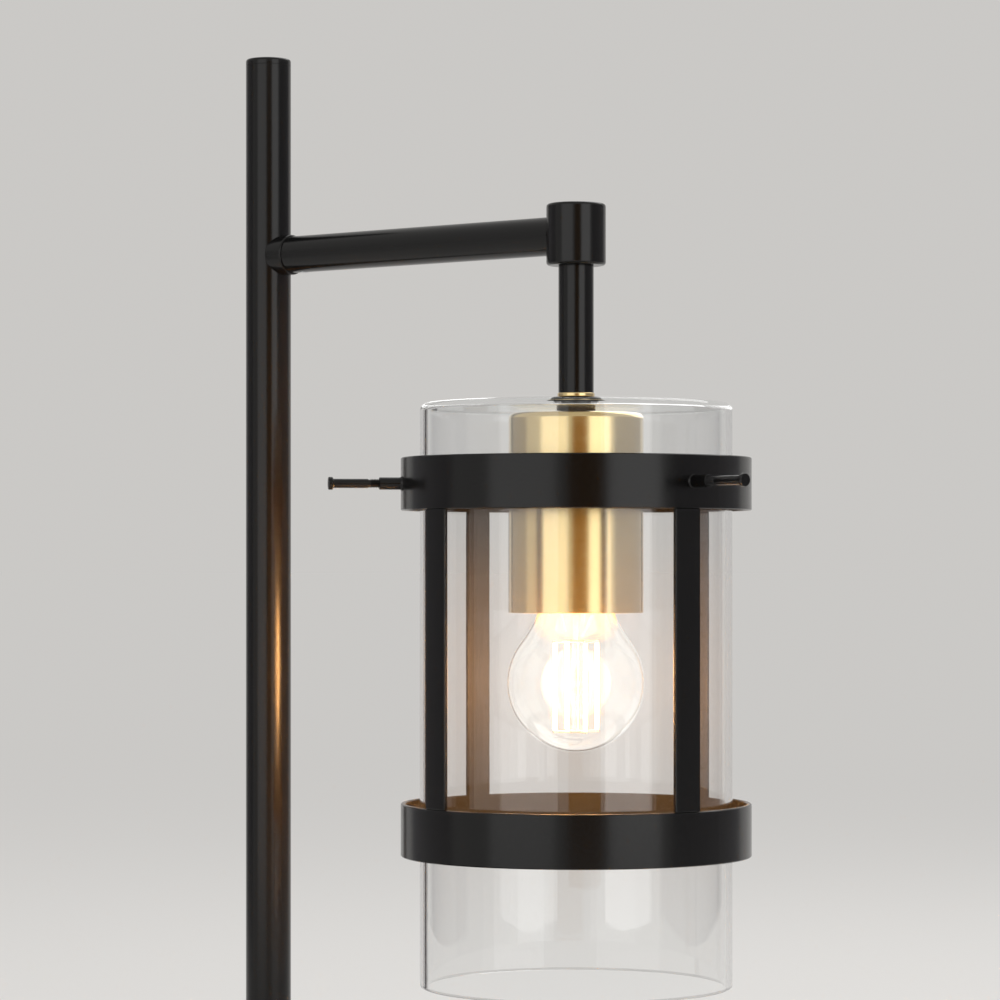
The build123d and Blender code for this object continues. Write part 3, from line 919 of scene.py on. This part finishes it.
@dataclass
class Bulb(SubAssembly):
    """Light bulb, cap up: glass ball, screw cap, inner mount, wire crowns and light strips."""

    body: Body = Body.BULB
    bottom: float = 242.3
    ball_radius: float = 30
    neck_radius: float = 12.2
    neck_insert: float = 8
    glass_wall: float = 0.7
    cap_bottom: float = 325.3
    cap_top: float = 345.3
    cap_radius: float = 12.2
    cap_bore: float = 11.6
    cap_pitch: float = 3.63
    cap_turns: float = 3.5
    thread_start: float = 1.5
    # Corners of the thread, out from the cap and up from its start.
    thread_ridge: Outline = ((-0.2, 0), (0.4, 0.5), (0.9, 1.3), (0.9, 2.0), (0.4, 2.8), (-0.2, 3.3))
    mount_flare: float = 11
    flare_height: float = 3
    mount_shoulder: float = 6
    mount_cone: float = 25
    mount_edge: float = 0.4
    bend_height: float = 11.25
    bend_radius: float = 2.55
    rod_radius: float = 1.5
    strip_bottom: float = 251.8
    strip_length: float = 38
    strip_radius: float = 0.9
    strip_edge: float = 0.4
    strip_circle: float = 10
    strip_angle: float = 61.5
    strip_count: int = 4
    crown_height: float = 1
    crown_radius: float = 3
    crown_bore: float = 1.6
    crown_bar: float = 1.2
    crown_edge: float = 0.15

    def pieces(self) -> Iterator[Piece]:
        """Builds the pieces of the bulb.

        Yields:
            Each piece.
        """
        yield self.on_lantern(self.glass(), "bulb_ball", Slot.BULB, "bulb_envelope")
        yield self.on_lantern(self.screw_cap(), "bulb_screw_shell", Slot.CAP, "bulb_screw_cap")
        # The glass stem shares the bulb glass and so its painted glow.
        yield self.on_lantern(self.mount(), "bulb_glass_stem", Slot.BULB, "bulb_mount")
        yield self.on_lantern(self.crowns(), "strip_crowns", Slot.STEEL, "filament_crowns")
        yield self.on_lantern(self.strips(), "light_strips", Slot.FILAMENT, "led_filaments")

    def glass(self) -> Blank:
        """Ball that runs into the neck by a hollow arc, as one thin blown wall.

        Returns:
            The blank.
        """
        blank = Blank()
        bm = blank.bm
        centre = self.bottom + self.ball_radius
        rise = self.cap_bottom - centre
        spare = self.ball_radius - self.neck_radius
        hollow = (rise**2 + self.neck_radius**2 - self.ball_radius**2) / (2 * spare)
        bend = atan2(rise, self.neck_radius + hollow)
        end = bm.verts.new((0, 0, self.bottom))
        for middle, angle, steps in (
            ((0, 0, centre), -(pi / 2 + bend), 40),
            ((self.neck_radius + hollow, 0, self.cap_bottom), bend, 16),
        ):
            drawn = bmesh.ops.spin(bm, geom=[end], cent=middle, axis=(0, 1, 0), angle=angle, steps=steps)
            end = only(bmesh.types.BMVert, drawn["geom_last"])[0]
        raised = bmesh.ops.extrude_vert_indiv(bm, verts=[end])["verts"]
        bmesh.ops.translate(bm, vec=(0, 0, self.neck_insert), verts=raised)
        wall = list(bm.verts) + list(bm.edges)
        bmesh.ops.spin(bm, geom=wall, cent=(0, 0, 0), axis=(0, 0, 1), angle=tau, steps=128, use_merge=True)
        blank.close()
        bmesh.ops.solidify(bm, geom=list(bm.faces), thickness=self.glass_wall)
        return blank

    def screw_cap(self) -> Blank:
        """Rolled screw shell: a plain sleeve with a round thread wound on it.

        Returns:
            The blank.
        """
        start = self.cap_bottom + self.thread_start
        ridge = [(self.cap_radius + out, start + up) for out, up in self.thread_ridge]
        blank = Blank().turn(stepped(self.cap_bore, self.cap_bottom, self.cap_radius, self.cap_top))
        return blank.thread(ridge, self.cap_pitch, self.cap_turns, steps=64)

    def mount(self) -> Blank:
        """Drawn glass stem: a flare in the neck that tapers to the rod of the light strips.

        Returns:
            The blank.
        """
        foot, rod = self.strip_bottom - self.crown_height, self.rod_radius
        neck, waist = self.cap_bottom, self.cap_bottom - self.mount_cone
        blank = Blank().turn(
            [
                (0, foot), (rod, foot), (rod, waist), (self.bend_radius, waist + self.bend_height),
                (self.mount_shoulder, neck), (self.mount_flare, neck),
                (self.mount_flare, neck + self.flare_height), (0, neck + self.flare_height),
            ],
            steps=64,
        )
        return blank.ease(self.mount_edge, segments=2)

    def crowns(self) -> Blank:
        """Two pressed spiders that hold the ends of the light strips.

        Returns:
            The blank.
        """
        blank = Blank()
        height = self.crown_height
        reach = self.strip_circle + self.strip_radius - self.rod_radius
        bottoms = (self.strip_bottom - height, self.strip_bottom + self.strip_length)
        for bottom in bottoms:
            bar = bmesh.ops.create_cube(blank.bm, size=1)["verts"]
            bmesh.ops.scale(blank.bm, vec=(reach, self.crown_bar, height), verts=bar)
            middle = (self.rod_radius + reach / 2, 0, bottom + height / 2)
            bmesh.ops.translate(blank.bm, vec=middle, verts=bar)
        blank.copies_round(self.strip_count, radians(self.strip_angle))
        for bottom in bottoms:
            blank.turn(stepped(self.crown_bore, bottom, self.crown_radius, bottom + height), steps=32)
        return blank.ease(self.crown_edge, segments=2)

    def strips(self) -> Blank:
        """Upright light strips on a circle round the stem.

        Returns:
            The blank.
        """
        bottom, top = self.strip_bottom, self.strip_bottom + self.strip_length
        blank = Blank().turn(stepped(0, bottom, self.strip_radius, top), steps=20).ease(self.strip_edge)
        blank.place(Matrix.Translation((self.strip_circle, 0, 0)))
        return blank.copies_round(self.strip_count, radians(self.strip_angle))


@dataclass
class Cage(SubAssembly):
    """Straps, screw bosses, thumb screws and swivel pads. The two rings stay as in CAD."""

    # Places along a screw are counted from the lantern's axis.
    body: Body = Body.CAGE
    outer: float = 76.5
    inner: float = 74.5
    strap_bottom: float = 220
    strap_top: float = 347.6
    strap_width: float = 13.5
    strap_edge: float = 0.35
    strap_angle: float = -14
    strap_count: int = 4
    screw_height: float = 359.1
    screw_angle: float = -12
    screw_count: int = 3
    boss_radius: float = 2.68
    boss_bore: float = 2.08
    boss_end: float = 86.5
    boss_edge: float = 0.22
    weld_radius: float = 3.18
    weld_start: float = 75.9
    weld_bend: float = 76.8
    weld_end: float = 77.4
    rod_radius: float = 2
    rod_start: float = 71.15
    core_radius: float = 1.6
    ridge_root: float = 1.5
    ridge_crest: float = 0.1
    ridge_gap: float = 0.02
    thread_pitch: float = 0.7
    thread_start: float = 71.25
    thread_end: float = 91
    taper_end: float = 91.6
    flange_start: float = 106.7
    flange_radius: float = 2.8
    flange_edge: float = 0.4
    screw_end: float = 108.7
    spigot_radius: float = 1.2
    spigot_start: float = 69.55
    pad_radius: float = 3
    pad_start: float = 68.55
    pad_end: float = 71.05
    pad_edge: float = 0.4
    well_radius: float = 1.28
    well_floor: float = 69.45

    def pieces(self) -> Iterator[Piece]:
        """Builds the pieces of the cage.

        Yields:
            Each piece.
        """
        for number in range(1, self.strap_count + 1):
            node = f"strap_{number}"
            yield self.on_lantern(self.strap(number), f"cage_{node}", Slot.COAT, node)
        for number in range(1, self.screw_count + 1):
            angle = radians(self.screw_angle) + (number - 1) * tau / self.screw_count
            along_screw = lying((self.lantern_x, 0, self.screw_height), angle)
            for blank, place, kind, slot, body in (
                (self.boss(), "ring", "screw_boss", Slot.COAT, self.body.value),
                (self.screw(), "cage", "thumb_screw", Slot.COAT, f"screw_{number}"),
                (self.pad(), "swivel", "screw_pad", Slot.RUBBER, f"pad_{number}"),
            ):
                node = f"{kind}_{number}"
                yield self.piece(blank.place(along_screw), f"{place}_{node}", slot, node, body)

    def strap(self, number: int) -> Blank:
        """Curved strap with eased edges between the rings.

        Args:
            number: its place in the row, from 1.

        Returns:
            The blank.
        """
        spread = self.strap_width / self.outer
        middle = radians(self.strap_angle) + (number - 1) * tau / self.strap_count
        section = stepped(self.inner, self.strap_bottom, self.outer, self.strap_top)
        blank = Blank().turn(section, steps=6, angle=spread).ease(self.strap_edge, segments=2)
        return blank.place(Matrix.Rotation(middle - spread / 2, 4, "Z"))

    def boss(self) -> Blank:
        """Threaded boss on the upper ring with a small weld foot.

        Returns:
            The blank.
        """
        outline = [
            (self.boss_bore, self.weld_start), (self.weld_radius, self.weld_start),
            (self.weld_radius, self.weld_bend), (self.boss_radius, self.weld_end),
            (self.boss_radius, self.boss_end), (self.boss_bore, self.boss_end),
        ]
        return Blank().turn(outline, steps=48).ease(self.boss_edge, segments=2)

    def screw(self) -> Blank:
        """Slender screw: spigot, threaded part, plain rod and end flange.

        Returns:
            The blank.
        """
        core, rod, start, pitch = self.core_radius, self.rod_radius, self.thread_start, self.thread_pitch
        blank = Blank().turn(
            [
                (0, self.spigot_start), (self.spigot_radius, self.spigot_start),
                (self.spigot_radius, self.rod_start), (core, self.rod_start),
                (core, self.thread_end), (rod, self.taper_end), (rod, self.flange_start),
                (self.flange_radius, self.flange_start), (self.flange_radius, self.screw_end),
                (0, self.screw_end),
            ],
            steps=48,
        )
        blank.ease(self.flange_edge, where=zone(bottom=self.flange_start))
        ridge = [
            (self.ridge_root, start),
            (rod, start + (pitch - self.ridge_crest) / 2),
            (rod, start + (pitch + self.ridge_crest) / 2),
            (self.ridge_root, start + pitch - self.ridge_gap),
        ]
        return blank.thread(ridge, pitch, round((self.thread_end - start) / pitch) - 1)

    def pad(self) -> Blank:
        """Swivel pad that bears on the glass, with a well for the screw's spigot.

        Returns:
            The blank.
        """
        rim = (0, self.pad_start, self.pad_radius, self.pad_end)
        blank = Blank().turn(stepped(*rim, self.well_radius, self.well_floor), steps=48)
        return blank.ease(self.pad_edge, where=zone(inner=self.pad_radius))


# Studio


@dataclass(frozen=True)
class Panel:
    """A flat panel of the studio, placed as seen from the lantern, in metres and degrees."""

    name: str
    bearing: float
    distance: float
    width: float
    tall: float


@dataclass(frozen=True)
class Softbox(Panel):
    """A soft lamp that is aimed at the lantern."""

    height: float
    power: float
    lights_floor: bool = False


@dataclass(frozen=True)
class Flag(Panel):
    """A matt panel on the floor that only polished surfaces mirror."""

    colour: str


@dataclass
class Studio:
    """Pale floor, soft lamps, flags, pale surroundings and the camera, in metres and degrees."""

    lantern_x: float = 0.110
    aim_height: float = 0.33
    bearing: float = 39
    camera_distance: float = 1.615
    camera_left: float = 0.0332
    camera_height: float = 0.3247
    sensor: float = 36
    lens: float = 133.2
    rise: float = 0.063
    floor_radius: float = 120
    floor_drop: float = 0.0002
    floor_colour: str = "#e6e4e1"
    light_colour: str = "#ffffff"
    light_strength: float = 0.75
    softboxes: tuple[Softbox, ...] = (
        Softbox("left_softbox", bearing=-36, distance=1.7, width=1.4, tall=1.5, height=0.55, power=5.2),
        Softbox("right_softbox", bearing=37, distance=1.7, width=1.1, tall=1.5, height=0.55, power=6.4),
        Softbox("top_softbox", 150, 1.2, width=1.4, tall=1.4, height=1.9, power=10, lights_floor=True),
    )
    flags: tuple[Flag, ...] = (
        Flag("front_flag", bearing=5, distance=2.2, width=0.9, tall=0.9, colour="#9a6a10"),
        Flag("left_flag", bearing=-111, distance=1.6, width=1.4, tall=0.9, colour="#98989c"),
        Flag("right_flag", bearing=97, distance=1.6, width=2.2, tall=0.9, colour="#98989c"),
    )
    bulb_height: float = 0.272
    bulb_radius: float = 0.018
    bulb_power: float = 8
    bulb_colour: str = "#ffbe78"

    def direction(self, turn: float) -> Vector:
        """Level direction from the lantern, counted in degrees to the camera's right."""
        angle = radians(self.bearing + turn)
        return Vector((sin(angle), -cos(angle), 0))

    def sheet(self, bm: bmesh.types.BMesh, name: str, cloth: str, colour: str) -> Piece:
        """Makes a plain matt piece of the stage.

        Args:
            bm: its mesh in metres, which is used up.
            name: its name.
            cloth: its material's name.
            colour: its one colour.

        Returns:
            The new object.
        """

        def matt(tree: Tree) -> Socket:
            """Adds a matt shader of one colour."""
            return add_node(tree, "BsdfDiffuse", {"Color": linear(colour)}).outputs["BSDF"]

        made = mesh_object(bm, name, new_material(cloth, matt))
        made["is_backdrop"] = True
        return made

    def floor(self) -> Piece:
        """Wide plain pale floor, just below the lamp.

        Returns:
            The floor's object.
        """
        bm = bmesh.new()
        bmesh.ops.create_circle(bm, cap_ends=True, segments=128, radius=self.floor_radius)
        bmesh.ops.translate(bm, vec=(0, 0, -self.floor_drop), verts=bm.verts)
        return self.sheet(bm, "studio_floor", "backdrop_paper", self.floor_colour)

    def flag(self, panel: Flag) -> None:
        """Stands up one flag.

        Args:
            panel: the flag.
        """
        bm = bmesh.new()
        bmesh.ops.create_grid(bm, x_segments=1, y_segments=1, size=0.5)
        bmesh.ops.scale(bm, vec=(panel.width, panel.tall, 1), verts=bm.verts)
        for angle, axis in ((pi / 2, "X"), (radians(self.bearing + panel.bearing), "Z")):
            bmesh.ops.rotate(bm, matrix=Matrix.Rotation(angle, 3, axis), verts=bm.verts)
        foot = self.direction(panel.bearing) * panel.distance
        middle = foot + Vector((self.lantern_x, 0, panel.tall / 2))
        bmesh.ops.translate(bm, vec=middle, verts=bm.verts)
        made = self.sheet(bm, panel.name, f"{panel.name}_cloth", panel.colour)
        made.visible_camera = False
        made.visible_diffuse = False
        made.visible_shadow = False

    def surroundings(self) -> None:
        """Even soft light from all sides, seen as the colour of the far floor."""
        world = bpy.data.worlds.new("pale_surroundings")
        world.use_nodes = True
        tree = world.node_tree
        tree.nodes.clear()
        ray = add_node(tree, "LightPath")
        bent = {0: ray.outputs["Is Glossy Ray"], 1: ray.outputs["Is Transmission Ray"]}
        mirrored = add_node(tree, "Math", bent, operation="MAXIMUM")
        either = {0: ray.outputs["Is Camera Ray"], 1: mirrored.outputs["Value"]}
        seen = add_node(tree, "Math", either, operation="MAXIMUM")
        light, pale = (
            add_node(tree, "Background", {"Color": linear(colour), "Strength": self.light_strength})
            for colour in (self.light_colour, self.floor_colour)
        )
        shaders = {0: seen.outputs["Value"], 1: light.outputs["Background"], 2: pale.outputs["Background"]}
        mixed = add_node(tree, "MixShader", shaders)
        add_node(tree, "OutputWorld", {"Surface": mixed.outputs["Shader"]})
        bpy.context.scene.world = world

    def hang(self, light: bpy.types.Light, receivers: bpy.types.Collection | None) -> Piece:
        """Makes the object of a light, which the camera doesn't see.

        Args:
            light: the light.
            receivers: tells what it lights; everything if it is None.

        Returns:
            The light's object.
        """
        made = bpy.data.objects.new(light.name, light)
        made.visible_camera = False
        if receivers is not None:
            made.light_linking.receiver_collection = receivers
        bpy.context.scene.collection.objects.link(made)
        return made

    def lamp(self, box: Softbox, no_floor: bpy.types.Collection) -> None:
        """Hangs one softbox and aims it at the lantern.

        Args:
            box: the softbox.
            no_floor: receivers of a lamp that leaves the floor out.
        """
        light = bpy.data.lights.new(box.name, "AREA")
        light.shape = "RECTANGLE"
        light.size = box.width
        light.size_y = box.tall
        light.energy = box.power
        made = self.hang(light, None if box.lights_floor else no_floor)
        away = self.direction(box.bearing) * box.distance
        made.location = away + Vector((self.lantern_x, 0, box.height))
        way = Vector((self.lantern_x, 0, self.aim_height)) - made.location
        made.rotation_euler = way.to_track_quat("-Z", "Y").to_euler()

    def bulb_light(self, no_floor: bpy.types.Collection) -> None:
        """Warm light that the lit bulb throws on the lamp.

        Args:
            no_floor: its receivers, which leave the floor out.
        """
        light = bpy.data.lights.new("bulb_light", "POINT")
        light.energy = self.bulb_power
        light.color = linear(self.bulb_colour)[:3]
        light.shadow_soft_size = self.bulb_radius
        made = self.hang(light, no_floor)
        made.location = (self.lantern_x, 0, self.bulb_height)
        made.visible_transmission = False

    def camera(self) -> None:
        """Level camera in front of the lantern, a little to its left."""
        data = bpy.data.cameras.new("studio_camera")
        data.sensor_width = self.sensor
        data.lens = self.lens
        data.shift_y = self.rise
        made = bpy.data.objects.new("studio_camera", data)
        back = self.direction(0) * self.camera_distance
        left = self.direction(-90) * self.camera_left
        made.location = Vector((self.lantern_x, 0, self.camera_height)) + back + left
        made.rotation_euler = (pi / 2, 0, radians(self.bearing))
        bpy.context.scene.collection.objects.link(made)
        bpy.context.scene.camera = made

    def build(self) -> None:
        """Sets up floor, surroundings, lamps, flags, camera and view."""
        no_floor = bpy.data.collections.new("all_but_the_floor")
        no_floor.objects.link(self.floor())
        no_floor.collection_objects[0].light_linking.link_state = "EXCLUDE"
        self.surroundings()
        for box in self.softboxes:
            self.lamp(box, no_floor)
        self.bulb_light(no_floor)
        for panel in self.flags:
            self.flag(panel)
        self.camera()
        bpy.context.scene.view_settings.view_transform = "Standard"


def write_sizes() -> None:
    boxes = {
        name: [[float(number) for number in corner] for corner in box]
        for name, box in (("cad", cad_box), ("visual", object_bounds()))
    }


def main() -> None:
    """Dresses the frame, builds every piece and sets up the studio."""
    logging.basicConfig(level=logging.INFO, format="%(name)s: %(message)s")
    palette = Palette()
    palette.dress_frame()
    for kind in (Base, PoleAndArm, Lantern, Bulb, Cage):
        for made in kind(palette).pieces():
            LOG.info("%s: %s, %d faces", kind.__name__, made.name, len(made.data.polygons))
    Studio().build()
    write_sizes()


if __name__ == "__main__":
    main()
